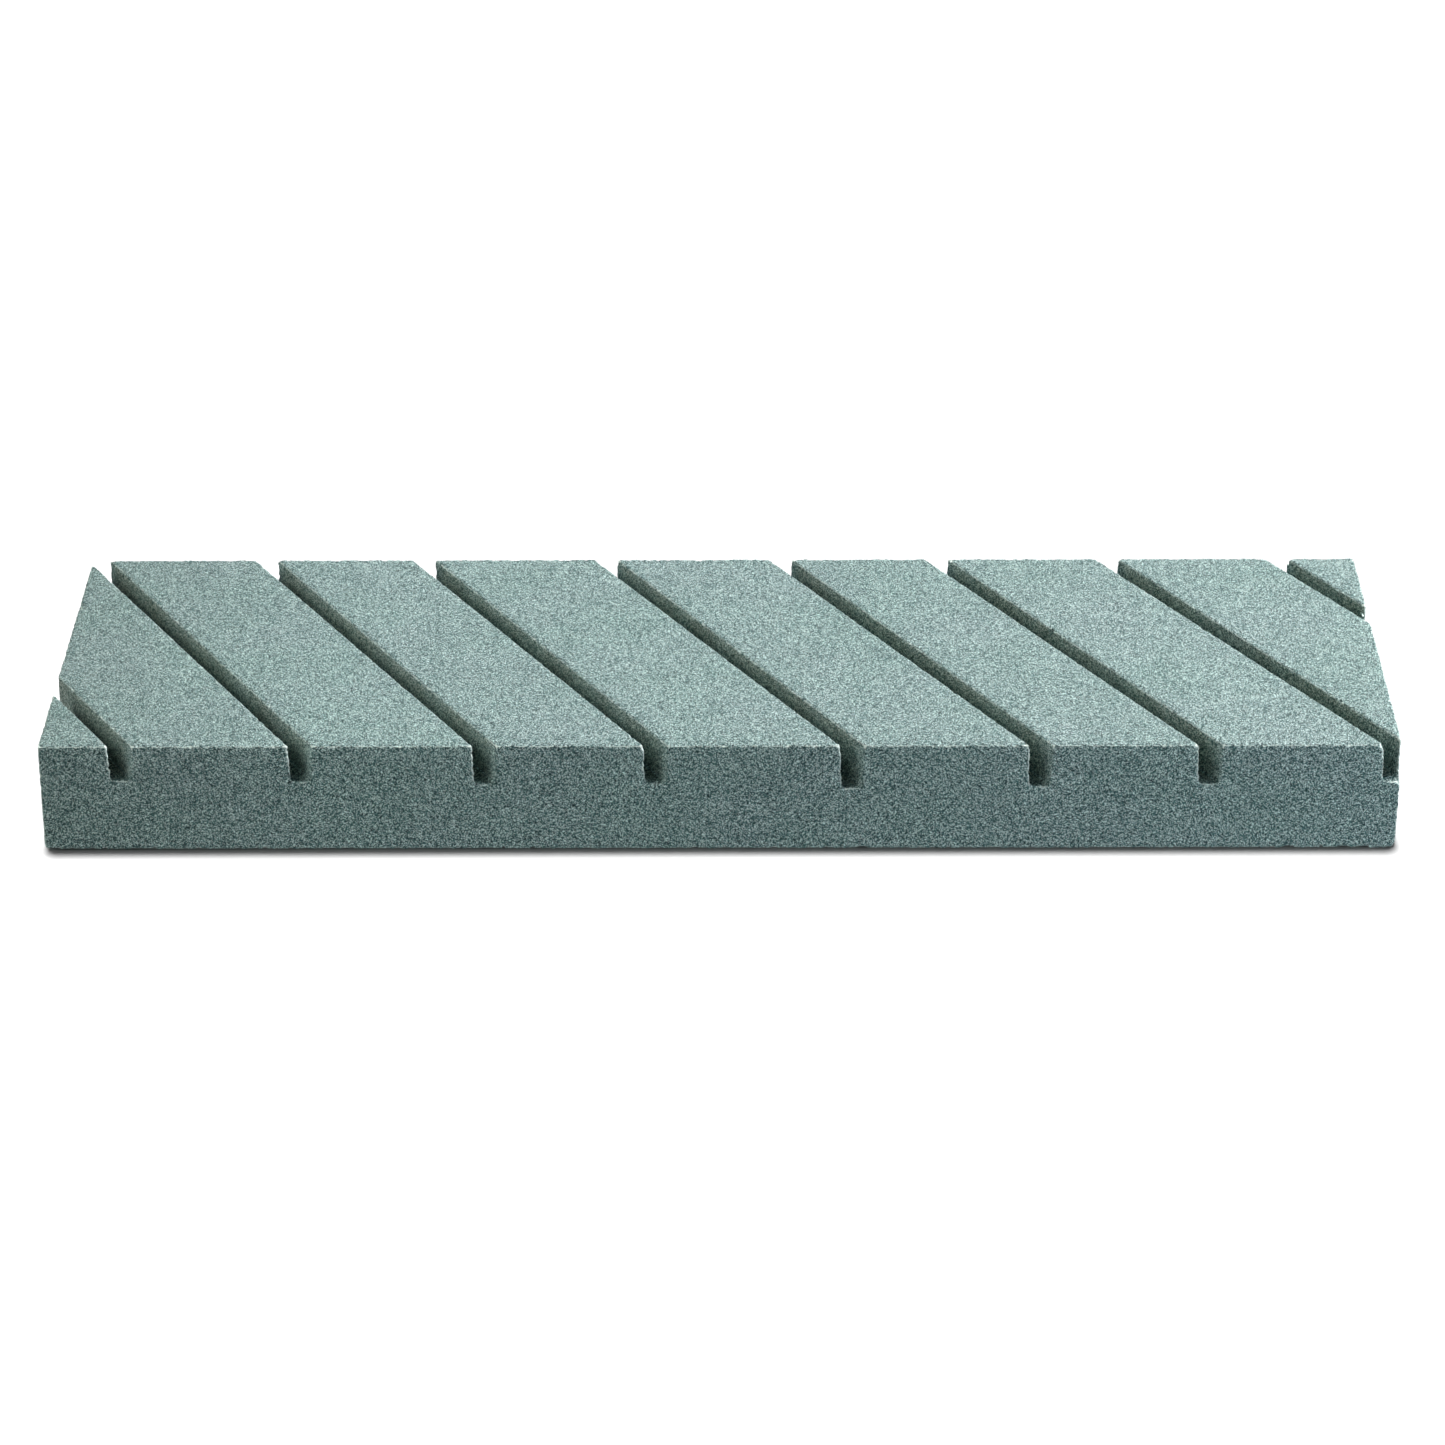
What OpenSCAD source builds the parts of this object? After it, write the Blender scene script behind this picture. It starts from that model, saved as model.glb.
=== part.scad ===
// Grooved flattening stone: one pressed and fired slab of green silicon carbide grit.
// Wide slots sawn across its working face carry slurry away while it laps a waterstone flat.
// Millimetres. X runs along the slab, Y across it and Z up.
// The origin is the centre of the underside.

/* [Slab] */
// Length of the slab
stone_l = 229; // [215:1:250]
// Width of the slab
stone_w = 76; // [60:1:90]
// Thickness of the slab
stone_t = 19.5; // [16:0.1:30]
// Edge break on the slab's twelve outer edges
edge_break = 0.2; // [0.1:0.1:1]

/* [Grooves] */
// Width of each sawn groove at its mouth, square to its walls
groove_w = 3.3; // [2:0.1:5]
// Width that each groove loses from its mouth down to its floor
groove_draft = 0.3; // [0:0.05:0.6]
// Angle between the grooves and the slab's short sides
groove_lean = 30; // [0:1:40]
// Radius in the two corners of each groove's floor
floor_r = 0.5; // [0.2:0.1:0.9]
// Edge break on each groove's two lips
lip_break = 0.2; // [0.1:0.1:0.6]

/* [Hidden] */

// Each groove as [where it crosses the slab's long centre line, its depth, how many degrees it is
// turned from the common lean]. The real slab's grooves are sawn one at a time by hand, so
// neither the spacing nor the depth nor the lean is even.
GROOVES = [
  [-122.6, 6.5, 0.1],
  [-91.8, 6.7, -0.5],
  [-61.1, 7.2, -0.2],
  [-32.4, 7.1, -0.1],
  [0.6, 8, -0.1],
  [32.2, 7.7, -0.1],
  [60.6, 7.3, -0.1],
  [91.5, 6.7, 0],
  [122.3, 7, 0.1],
];

// Length of a groove's cutter: enough to run out past both long sides at any lean
cutter_l = 2 * (stone_w + stone_l * sin(groove_lean));
// How far a cutter stands above the working face
clear = 1;

$fn = 48;

// A rectangle centred on the origin, with its four corners cut at 45 degrees
module bevelled(l, w, cut) {
  x = l / 2;
  y = w / 2;
  polygon([
    [x - cut, -y], [x, cut - y], [x, y - cut], [x - cut, y],
    [cut - x, y], [-x, y - cut], [-x, cut - y], [cut - x, -y],
  ]);
}

// The slab before sawing: the overlap of three bevelled bars, one along each axis
module slab() {
  translate([0, 0, stone_t / 2])
    intersection() {
      translate([0, 0, -stone_t / 2])
        linear_extrude(stone_t)
          bevelled(stone_l, stone_w, edge_break);
      rotate([90, 0, 0])
        translate([0, 0, -stone_w / 2])
          linear_extrude(stone_w)
            bevelled(stone_l, stone_t, edge_break);
      rotate([90, 0, 90])
        translate([0, 0, -stone_l / 2])
          linear_extrude(stone_l)
            bevelled(stone_w, stone_t, edge_break);
    }
}

// One groove's section, with its mouth at height 0: drafted walls, a flat floor between two
// round corners, and broken lips
module groove_section(depth) {
  mouth = groove_w / 2;
  floor_half = mouth - groove_draft / 2;
  corner_x = floor_half - floor_r;
  corner_y = floor_r - depth;
  flare = mouth + lip_break + clear;
  polygon([
    [-corner_x, -depth], [corner_x, -depth], [corner_x, corner_y], [floor_half, corner_y],
    [mouth, -lip_break], [flare, clear], [-flare, clear], [-mouth, -lip_break],
    [-floor_half, corner_y], [-corner_x, corner_y],
  ]);
  for (side = [-1, 1])
    translate([side * corner_x, corner_y])
      circle(floor_r);
}

// The cutter of one groove, lying along its line across the working face
module groove_cutter(centre_x, depth, turn) {
  translate([centre_x, 0, stone_t])
    rotate([90, 0, groove_lean + turn])
      translate([0, 0, -cutter_l / 2])
        linear_extrude(cutter_l)
          groove_section(depth);
}

module stone() {
  color([0.46, 0.58, 0.56])
    difference() {
      slab();
      for (groove = GROOVES)
        groove_cutter(groove[0], groove[1], groove[2]);
    }
}

stone();
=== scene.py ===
"""Looks of a grooved flattening stone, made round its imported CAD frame. Metres, +Z up.

The stone is one fired block of abrasive grit. The CAD node's mesh becomes a distance field. The
field's right end is leant in a little, its arrises are worn, roughened and chipped, and then it is
meshed again. The grit is a node material.
"""
import math

import bpy
import numpy as np
import openvdb
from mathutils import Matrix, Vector


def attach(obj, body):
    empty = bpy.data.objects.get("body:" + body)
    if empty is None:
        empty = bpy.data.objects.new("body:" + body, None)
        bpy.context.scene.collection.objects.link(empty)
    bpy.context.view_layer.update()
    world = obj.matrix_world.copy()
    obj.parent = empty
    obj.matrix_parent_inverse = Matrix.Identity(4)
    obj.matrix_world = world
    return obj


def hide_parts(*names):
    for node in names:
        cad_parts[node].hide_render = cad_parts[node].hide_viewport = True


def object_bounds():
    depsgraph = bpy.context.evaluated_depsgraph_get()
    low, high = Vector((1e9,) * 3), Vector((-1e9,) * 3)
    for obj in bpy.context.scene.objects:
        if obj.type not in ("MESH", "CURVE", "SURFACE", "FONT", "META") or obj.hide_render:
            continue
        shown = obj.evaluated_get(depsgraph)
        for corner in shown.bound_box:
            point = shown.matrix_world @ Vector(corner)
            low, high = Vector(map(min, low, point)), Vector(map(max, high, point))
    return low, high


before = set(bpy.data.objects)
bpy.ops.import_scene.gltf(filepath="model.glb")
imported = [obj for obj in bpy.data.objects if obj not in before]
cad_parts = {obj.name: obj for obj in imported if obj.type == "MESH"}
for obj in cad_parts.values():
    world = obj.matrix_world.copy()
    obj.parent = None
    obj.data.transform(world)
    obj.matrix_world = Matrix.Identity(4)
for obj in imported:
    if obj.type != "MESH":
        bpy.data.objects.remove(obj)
CAD_LOW, CAD_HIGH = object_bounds()

MM = 0.001
SEED = 11

# ---------------------------------------------------------------------------- the worn block

VOXEL = 0.25 * MM  # the field's pitch, about the size of one grain
BAND = 6  # how many voxels deep the field is kept on each side of the surface
REACH = 2  # how many voxels the averaging looks each way, which is how wide an arris is felt
ADAPTIVITY = 0.02  # how much flat ground the mesher may join into larger faces

ROUND_OFF = 0.25  # how far wear takes a square arris back, in voxels
GRAIN_LOSS = 0.35  # how unevenly grains have left an arris, in voxels
GRAIN = 0.4 * MM  # size of the grains and gaps along an arris
CHIP_COUNT = 60  # small chips scattered over all the arrises
CHIP_SIZE = (0.3 * MM, 0.55 * MM)  # smallest and largest radius of a scattered chip
RAGGED = 0.25  # how uneven a chip's hollow is, in voxels
SQUARE = 0.75  # what a sharp square arris measures in the averaging box, in voxels
MOST_ARRIS = 1.5  # the sharpest arrises count as no more than this many square ones

LEFT, FRONT, UNDERSIDE = CAD_LOW
RIGHT, BACK, WORKING_FACE = CAD_HIGH

# The chips that can be told apart: middle of the chip, then its three half-lengths
CHIPS = [
    ((RIGHT - 2.7 * MM, FRONT, WORKING_FACE), (1.2 * MM, 1.0 * MM, 1.2 * MM)),
    ((RIGHT - 1.0 * MM, FRONT, WORKING_FACE - 6.7 * MM), (2.2 * MM, 1.8 * MM, 0.6 * MM)),
    ((LEFT, FRONT, UNDERSIDE), (0.5 * MM, 0.5 * MM, 0.5 * MM)),
    ((RIGHT, FRONT, UNDERSIDE), (1.0 * MM, 1.0 * MM, 1.2 * MM)),
]
# Where crumbs have gone from the lower front arris: place along the block, half-length
CRUMBS = [(24 * MM, 0.8 * MM), (96 * MM, 1.0 * MM), (105.6 * MM, 1.2 * MM), (109 * MM, 1.2 * MM)]
CRUMB_MIDDLE = 0.1 * MM  # height of a crumb's middle above the underside
CRUMB_DEPTH = 1.0 * MM  # half of what a crumb measures across the block
CRUMB_HEIGHT = 0.3 * MM  # half of what it measures upright
END_LEAN = 0.35 * MM  # how far the right end leans in at the underside


def distance_field(obj):
    """The object's mesh as a dense array of signed distances in voxels, and the array's origin."""
    mesh = obj.data
    mesh.calc_loop_triangles()
    points = np.empty(len(mesh.vertices) * 3, np.float32)
    mesh.vertices.foreach_get("co", points)
    corners = np.empty(len(mesh.loop_triangles) * 3, np.int32)
    mesh.loop_triangles.foreach_get("vertices", corners)
    points = points.reshape(-1, 3) / VOXEL
    corners = corners.reshape(-1, 3).astype(np.uint32)
    grid = openvdb.FloatGrid.createLevelSetFromPolygons(points, triangles=corners, halfWidth=BAND)
    low = np.floor(points.min(0)).astype(int) - BAND
    high = np.ceil(points.max(0)).astype(int) + BAND
    field = np.empty(high - low + 1, np.float32)
    grid.copyToArray(field, ijk=tuple(int(i) for i in low))
    return field, low


def averaged(field, reach):
    """The field averaged over a box that goes that many voxels each way."""
    for axis in range(3):
        total = np.zeros_like(field)
        for step in range(-reach, reach + 1):
            total += np.roll(field, step, axis)
        field = total / (2 * reach + 1)
    return field


def lumps(shape, size, rng):
    """Smooth noise over an array, with unit spread and lumps of about that size."""
    cell = size / VOXEL
    noise = rng.standard_normal([int(n / cell) + 2 for n in shape]).astype(np.float32)
    for axis, n in enumerate(shape):
        place = np.arange(n) / cell
        index = place.astype(int)
        share = (place - index).astype(np.float32)
        share = share * share * (3 - 2 * share)
        share = share.reshape([-1 if a == axis else 1 for a in range(3)])
        before = np.take(noise, index, axis)
        after = np.take(noise, index + 1, axis)
        noise = before + (after - before) * share
    return noise / noise.std()


def out_of_square(field, origin):
    """The field with the right end leaning in towards the underside."""
    along = (np.arange(field.shape[0]) + origin[0])[:, None]
    height = (np.arange(field.shape[2]) + origin[2])[None, :] * VOXEL
    end = (RIGHT - END_LEAN * (1 - height / WORKING_FACE)) / VOXEL
    return np.maximum(field, np.clip(along - end, -BAND, BAND)[:, None, :])


def arrises(field):
    """How far each voxel is on a convex arris.

    It is 0 on flat ground, about 1 on a square arris and more on an acute one.
    """
    return np.clip((averaged(field, REACH) - field) / SQUARE, 0, MOST_ARRIS)


def bite(field, origin, centre, half_lengths, rng):
    """Takes a ragged ellipsoid out of the field, in place."""
    centre = np.array(centre) / VOXEL - origin
    radii = np.array(half_lengths) / VOXEL
    reach = radii * 1.4  # the noise carries the hollow's edge a little further out
    low = np.maximum(np.floor(centre - reach).astype(int), 0)
    high = np.minimum(np.ceil(centre + reach).astype(int) + 1, field.shape)
    if (high <= low).any():
        return
    window = tuple(slice(a, b) for a, b in zip(low, high))
    steps = np.meshgrid(*[np.arange(a, b) for a, b in zip(low, high)], indexing="ij")
    away = np.sqrt(sum(((s - c) / r) ** 2 for s, c, r in zip(steps, centre, radii)))
    hole = (1 - away) * radii.min() + RAGGED * rng.standard_normal(away.shape)
    field[window] = np.maximum(field[window], np.clip(hole, -BAND, BAND))


def chipped(field, origin, arris, rng):
    """Takes the chips and crumbs out of the field, in place."""
    for centre, half_lengths in CHIPS:
        bite(field, origin, centre, half_lengths, rng)
    for along, half_length in CRUMBS:
        centre = (along, FRONT, UNDERSIDE + CRUMB_MIDDLE)
        bite(field, origin, centre, (half_length, CRUMB_DEPTH, CRUMB_HEIGHT), rng)
    near_surface = np.abs(field) < 0.7
    on_arris = np.argwhere((arris > 0.4) & near_surface)
    for spot in rng.choice(len(on_arris), CHIP_COUNT, replace=False):
        radius = rng.uniform(*CHIP_SIZE) * rng.uniform(0.6, 1)
        stretch = radius * rng.uniform(0.7, 1.3, 3)
        out = on_arris[spot] + origin + rng.uniform(-0.5, 0.5, 3) * radius / VOXEL
        bite(field, origin, out * VOXEL, stretch, rng)


def without_specks(field):
    """The field without the lone voxels and pairs of voxels that chips have cut off."""
    inside = field < 0
    company = averaged(inside.astype(np.float32), 1) * 27  # stone voxels in a cube of 3, itself too
    return np.where(inside & (company < 2.5), 0.5, field)


def worn(field, origin, rng):
    """The field with its arrises rounded, roughened and chipped, and how worn each voxel is."""
    arris = arrises(field)
    grain = lumps(field.shape, GRAIN, rng)
    loss = arris * ROUND_OFF + np.sqrt(arris) * GRAIN_LOSS * grain
    field = field + np.maximum(loss, 0)
    chipped(field, origin, arris, rng)
    return without_specks(field), arris


def meshed(field, origin, name):
    """A mesh object of the field's zero surface, and its vertices as places in the field."""
    grid = openvdb.FloatGrid(float(BAND))
    grid.copyFromArray(np.clip(field, -BAND, BAND))
    points, triangles, quads = grid.convertToPolygons(0.0, ADAPTIVITY)
    mesh = bpy.data.meshes.new(name)
    mesh.from_pydata(((points + origin) * VOXEL).tolist(), [], triangles.tolist() + quads.tolist())
    mesh.validate()
    obj = bpy.data.objects.new(name, mesh)
    bpy.context.scene.collection.objects.link(obj)
    return obj, points


def add_wear_and_sheen(mesh, points, arris):
    """Stores how worn each vertex is, for the material, which pales the arrises partly as real wear and
    partly as a painted highlight.
    """
    nearest = np.clip(np.rint(points).astype(int), 0, np.array(arris.shape) - 1)
    wear_and_sheen = mesh.attributes.new("wear_and_sheen", "FLOAT", "POINT")
    wear_and_sheen.data.foreach_set("value", arris[tuple(nearest.T)])


def worn_block():
    """The visible stone: the CAD node's solid, worn and chipped."""
    rng = np.random.default_rng(SEED)
    field, origin = distance_field(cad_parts["stone"])
    field = out_of_square(field, origin).astype(np.float32)
    field, arris = worn(field, origin, rng)
    obj, points = meshed(field, origin, "grooved_stone")
    add_wear_and_sheen(obj.data, points, arris)
    return obj


# ---------------------------------------------------------------------------- the grit

GRIT = 0.12 * MM  # size of the abrasive's grains
GROOVE_LEAN = math.radians(30)  # angle between the grooves and the block's short sides
FLOORS_BELOW = WORKING_FACE - 4 * MM  # every groove's floor is lower than this
MOUTH_FADE = (BACK - 3.5 * MM, BACK - 0.5 * MM)  # where the swarf and painted shade fade out, as a distance from the middle
LEFT_END_SHADE_LENGTH = 46 * MM  # how much of the left end is darkened by painted shade
PATCH = 20 * MM  # size of the faint patches of tone
SWARF_AND_SHADE_PATCH = 9 * MM  # size of the patches of swarf and painted shade down in the grooves
BUMP = 0.86 * GRIT  # how far the grains stand out

# Colours of the grains
DARK_GRAIN = (0.008, 0.026, 0.028, 1)
MID_GRAIN = (0.082, 0.18, 0.178, 1)
PALE_GRAIN = (0.65, 0.86, 0.84, 1)
# pale arris grains: partly real wear, partly a painted highlight where the arrises catch the light
WORN_AND_SHEEN_GRAIN = (0.74, 0.88, 0.83, 1)
# Colours that the grains are multiplied by
COOL_PATCH = (0.98, 1, 0.985, 1)
WARM_PATCH = (1.01, 0.99, 1, 1)
# painted shade that darkens the left end
LEFT_END_SHADE = (0.83, 0.83, 0.82, 1)
# brown swarf stain, partly also painted shade that darkens the grooves
SWARF_AND_SHADE_TINT = (1, 0.89, 0.81, 1)


class Tree:
    """A material's node tree, with a short way to add and join nodes."""

    def __init__(self, name):
        self.material = bpy.data.materials.new(name)
        self.material.use_nodes = True
        self.nodes = self.material.node_tree.nodes
        self.links = self.material.node_tree.links
        self.shader = self.nodes["Principled BSDF"]

    def add(self, kind, settings=None, **inputs):
        """A new node. An input is a number, a colour or another node's output."""
        node = self.nodes.new("ShaderNode" + kind)
        for name, value in (settings or {}).items():
            setattr(node, name, value)
        for name, value in inputs.items():
            self.set(node, name.replace("_", " "), value)
        return node

    def set(self, node, name, value):
        """Sets or joins an input, given by its name or as n and its number."""
        numbered = name[0] == "n" and name[1:].isdigit()
        socket = node.inputs[int(name[1:]) if numbered else name]
        if isinstance(value, bpy.types.NodeSocket):
            self.links.new(value, socket)
        else:
            socket.default_value = value

    def math(self, operation, a, b=0.0, clamp=False):
        settings = {"operation": operation, "use_clamp": clamp}
        return self.add("Math", settings, n0=a, n1=b).outputs[0]

    def spread(self, value, low, high, to_low=0.0, to_high=1.0):
        """The value carried over from one range to another and held inside it."""
        return self.add("MapRange", n0=value, n1=low, n2=high, n3=to_low, n4=to_high).outputs[0]

    def axis(self, vector, name):
        return self.add("SeparateXYZ", Vector=vector).outputs[name]

    def noise(self, where, size):
        return self.add("TexNoise", Vector=where, Scale=1 / size, Detail=3.0).outputs["Fac"]

    def ramp(self, factor, *stops):
        """A colour ramp through (position, colour) stops."""
        node = self.add("ValToRGB", Fac=factor)
        elements = node.color_ramp.elements
        for _ in stops[2:]:
            elements.new(0.5)
        for element, (position, colour) in zip(elements, stops):
            element.position = position
            element.color = colour
        return node.outputs["Color"]

    def blend(self, factor, colour, other, blend_type="MIX"):
        """The colour changed to the other, or multiplied by it, as far as the factor says."""
        settings = {"data_type": "RGBA", "blend_type": blend_type}
        return self.add("Mix", settings, n0=factor, n6=colour, n7=other).outputs[2]

    def tint(self, factor, colour, by):
        return self.blend(factor, colour, by, "MULTIPLY")


def in_grooves(tree, place):
    """1 on the grooves' walls and floors and 0 elsewhere.

    The walls face a way that no outer face does, and the floors face up from below the working face.
    """
    normal = place.outputs["True Normal"]
    across = (math.cos(GROOVE_LEAN), math.sin(GROOVE_LEAN), 0)
    facing = tree.add("VectorMath", {"operation": "DOT_PRODUCT"}, n0=normal, n1=across)
    wall = tree.spread(tree.math("ABSOLUTE", facing.outputs["Value"]), 0.9, 0.97)
    low = tree.math("LESS_THAN", tree.axis(place.outputs["Position"], "Z"), FLOORS_BELOW)
    level = tree.math("GREATER_THAN", tree.axis(normal, "Z"), 0.8)
    floor = tree.math("MULTIPLY", low, level)
    return tree.math("ADD", wall, floor, clamp=True)


def away_from_mouths(tree, where):
    """0 where the grooves open through the long sides, rising to 1 a little way in."""
    across = tree.math("ABSOLUTE", tree.axis(where, "Y"))
    return tree.spread(across, *MOUTH_FADE, 1.0, 0.0)


def in_left_end_shade(tree, where):
    """1 at the left end, which is darkened by painted shade, falling to 0 along the block."""
    return tree.spread(tree.axis(where, "X"), LEFT, LEFT + LEFT_END_SHADE_LENGTH, 1.0, 0.0)


def abrasive():
    """Bonded silicon carbide: pale and dark grains packed together, each with its own tilt."""
    tree = Tree("abrasive")
    place = tree.add("NewGeometry")
    where = place.outputs["Position"]

    grains = tree.add("TexVoronoi", Vector=where, Scale=1 / GRIT)
    chance = tree.add("SeparateColor", Color=grains.outputs["Color"]).outputs
    tones = [(0.26, DARK_GRAIN), (0.38, MID_GRAIN), (0.66, MID_GRAIN), (0.82, PALE_GRAIN)]
    colour = tree.ramp(chance["Red"], *tones)

    patches = tree.ramp(tree.noise(where, PATCH), (0.35, COOL_PATCH), (0.65, WARM_PATCH))
    colour = tree.tint(1.0, colour, patches)
    # Painted shade: the left end darker than the rest of the block
    colour = tree.tint(in_left_end_shade(tree, where), colour, LEFT_END_SHADE)

    # Brown swarf in the grooves, partly also painted shade that darkens them, fading out at the mouths
    swarf_and_shade = tree.spread(tree.noise(where, SWARF_AND_SHADE_PATCH), 0.3, 0.65, 0.5, 1.0)
    swarf_and_shade = tree.math("MULTIPLY", swarf_and_shade, in_grooves(tree, place))
    swarf_and_shade = tree.math("MULTIPLY", swarf_and_shade, away_from_mouths(tree, where))
    colour = tree.tint(swarf_and_shade, colour, SWARF_AND_SHADE_TINT)

    # Paler arrises: partly real rubbed grains, partly a painted highlight
    wear_and_sheen = tree.add("Attribute", {"attribute_name": "wear_and_sheen"}).outputs["Fac"]
    colour = tree.blend(tree.spread(wear_and_sheen, 0.72, 1.05), colour, WORN_AND_SHEEN_GRAIN)
    tree.set(tree.shader, "Base Color", colour)

    facets = tree.math("SUBTRACT", chance["Blue"], grains.outputs["Distance"])
    bump = tree.add("Bump", Strength=0.6, Distance=BUMP, Height=facets)
    tree.set(tree.shader, "Normal", bump.outputs["Normal"])
    tree.set(tree.shader, "Roughness", tree.spread(chance["Green"], 0.0, 1.0, 0.45, 0.9))
    tree.shader.inputs["Specular IOR Level"].default_value = 0.35
    return tree.material


# ---------------------------------------------------------------------------- the studio

FROM_ABOVE = 0.02  # how strongly the room lights the stone from above the horizon
FROM_BELOW = 0.25  # how strongly the white paper would light it from below
HORIZON = 0.1  # how far either side of the horizon the one turns into the other
FLOOR_REACH = 2.0  # half the width of the paper
FLOOR_GLOW = 0.064  # the paper's painted glow, what it still gives back in full shadow
CONTACT = 0.8 * MM  # how far from the stone the painted contact shadow darkens the paper's glow

# The block that shades the paper
FLAG_INSET = (0.3 * MM, 0.2 * MM)  # how much smaller than the stone it is at each side, in X and Y
FLAG_CUT = 1.5 * MM  # how much of its upright corners is cut off
FLAG_TURN = math.radians(0.18)  # the shadow is a little wider at the left than at the right

WASH = ("floor_wash", (0, 1.0, 8), (0.8, 1.4), 2500, (1, 1, 1))  # the floor's own light
WARM = (1.04, 1, 0.94)
COOL = (0.94, 1, 1.08)

# The soft boxes round the stone: name, place, size, power and colour
LAMPS = [
    ("key", (0.83, 0.42, 0.92), (0.5, 0.5), 33.9, (1.06, 1, 0.99)),
    ("left_fill", (-0.45, -0.12, 0.3), (0.3, 0.3), 1.0, WARM),
    ("left_low_fill", (-0.42, -0.3, 0.12), (0.2, 0.14), 0.38, WARM),
    ("left_front_fill", (-0.25, -0.55, 0.14), (0.3, 0.14), 0.27, WARM),
    ("right_front_fill", (0.4, -0.4, 0.06), (0.2, 0.1), 0.45, COOL),
    ("right_fill", (0.3, -0.25, 0.02), (0.12, 0.08), 0.3, COOL),
]


def area_light(name, place, size, power, colour, lights, shaded_by):
    """An oval soft box that faces the middle, lights only one object and is shaded by only one."""
    lamp = bpy.data.lights.new(name, "AREA")
    lamp.shape = "ELLIPSE"
    lamp.size, lamp.size_y = size
    lamp.energy = power
    lamp.color = colour
    obj = bpy.data.objects.new(name, lamp)
    obj.location = place
    obj.rotation_euler = (-Vector(place)).to_track_quat("-Z", "Y").to_euler()
    bpy.context.scene.collection.objects.link(obj)
    linking = obj.light_linking
    linking.receiver_collection = bpy.data.collections.new(name + "_lights")
    linking.receiver_collection.objects.link(lights)
    linking.blocker_collection = bpy.data.collections.new(name + "_blockers")
    linking.blocker_collection.objects.link(shaded_by)


def white_room():
    """A world that the camera sees as white and that lights the stone softly from all round."""
    world = bpy.data.worlds.new("white_room")
    bpy.context.scene.world = world
    world.use_nodes = True
    nodes, links = world.node_tree.nodes, world.node_tree.links
    way = nodes.new("ShaderNodeTexCoord")
    height = nodes.new("ShaderNodeSeparateXYZ")
    links.new(way.outputs["Generated"], height.inputs["Vector"])
    glow = nodes.new("ShaderNodeMapRange")
    ends = {"From Min": -HORIZON, "From Max": HORIZON, "To Min": FROM_BELOW, "To Max": FROM_ABOVE}
    for name, value in ends.items():
        glow.inputs[name].default_value = value
    links.new(height.outputs["Z"], glow.inputs["Value"])
    ray = nodes.new("ShaderNodeLightPath")
    strength = nodes.new("ShaderNodeMath")
    strength.operation = "MAXIMUM"
    links.new(ray.outputs["Is Camera Ray"], strength.inputs[0])
    links.new(glow.outputs["Result"], strength.inputs[1])
    nodes["Background"].inputs["Color"].default_value = (1, 1, 1, 1)
    links.new(strength.outputs["Value"], nodes["Background"].inputs["Strength"])


def paper_floor():
    """White paper under the stone, its painted glow a little darker where the two touch, as a painted
    contact shadow.
    """
    mesh = bpy.data.meshes.new("floor")
    r = FLOOR_REACH
    mesh.from_pydata([(-r, -r, 0), (r, -r, 0), (r, r, 0), (-r, r, 0)], [], [(0, 1, 2, 3)])
    floor = bpy.data.objects.new("floor", mesh)
    bpy.context.scene.collection.objects.link(floor)
    floor.visible_diffuse = False
    floor.visible_glossy = False
    tree = Tree("floor_paper")
    tree.shader.inputs["Base Color"].default_value = (0.3, 0.3, 0.3, 1)
    tree.shader.inputs["Roughness"].default_value = 1.0
    tree.shader.inputs["Specular IOR Level"].default_value = 0.0
    tree.shader.inputs["Emission Color"].default_value = (1, 1, 1, 1)
    # Painted contact shadow: the paper's glow is dimmed where the stone is near
    open_above = tree.add("AmbientOcclusion", {"samples": 4}, Distance=CONTACT).outputs["AO"]
    tree.set(tree.shader, "Emission Strength", tree.math("MULTIPLY", open_above, FLOOR_GLOW))
    mesh.materials.append(tree.material)
    return floor


def shadow_flag():
    """A plain block within the stone that shades the paper in its stead.

    The camera doesn't see it, and because it has no grooves no light comes through them.
    """
    x = RIGHT - FLAG_INSET[0]
    y = BACK - FLAG_INSET[1]
    cut = FLAG_CUT
    plan = [(x - cut, -y), (x, cut - y), (x, y - cut), (x - cut, y)]
    plan += [(-a, -b) for a, b in plan]
    corners = [(a, b, height) for height in (0, WORKING_FACE) for a, b in plan]
    sides = [(7, 6, 5, 4, 3, 2, 1, 0), (8, 9, 10, 11, 12, 13, 14, 15)]
    sides += [(i, (i + 1) % 8, (i + 1) % 8 + 8, i + 8) for i in range(8)]
    mesh = bpy.data.meshes.new("shadow_flag")
    mesh.from_pydata(corners, [], sides)
    flag = bpy.data.objects.new("shadow_flag", mesh)
    bpy.context.scene.collection.objects.link(flag)
    for kind in ("camera", "diffuse", "glossy", "transmission", "volume_scatter"):
        setattr(flag, "visible_" + kind, False)
    flag.rotation_euler.z = FLAG_TURN
    return flag


def studio(stone):
    """The white room, the paper and its shadow, and the soft boxes that light the stone."""
    bpy.context.scene.view_settings.view_transform = "Standard"
    white_room()
    area_light(*WASH, lights=paper_floor(), shaded_by=shadow_flag())
    for lamp in LAMPS:
        area_light(*lamp, lights=stone, shaded_by=stone)


def camera():
    """The view down on the long front side."""
    data = bpy.data.cameras.new("camera")
    data.lens = 121.12
    obj = bpy.data.objects.new("camera", data)
    obj.location = (0.00798, -0.76698, 0.38307)
    obj.rotation_euler = [math.radians(a) for a in (63.768, 0.31, 0.43)]
    bpy.context.scene.collection.objects.link(obj)
    bpy.context.scene.camera = obj


camera()
stone = worn_block()
stone.data.materials.append(abrasive())
studio(stone)
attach(stone, "root")
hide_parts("stone")
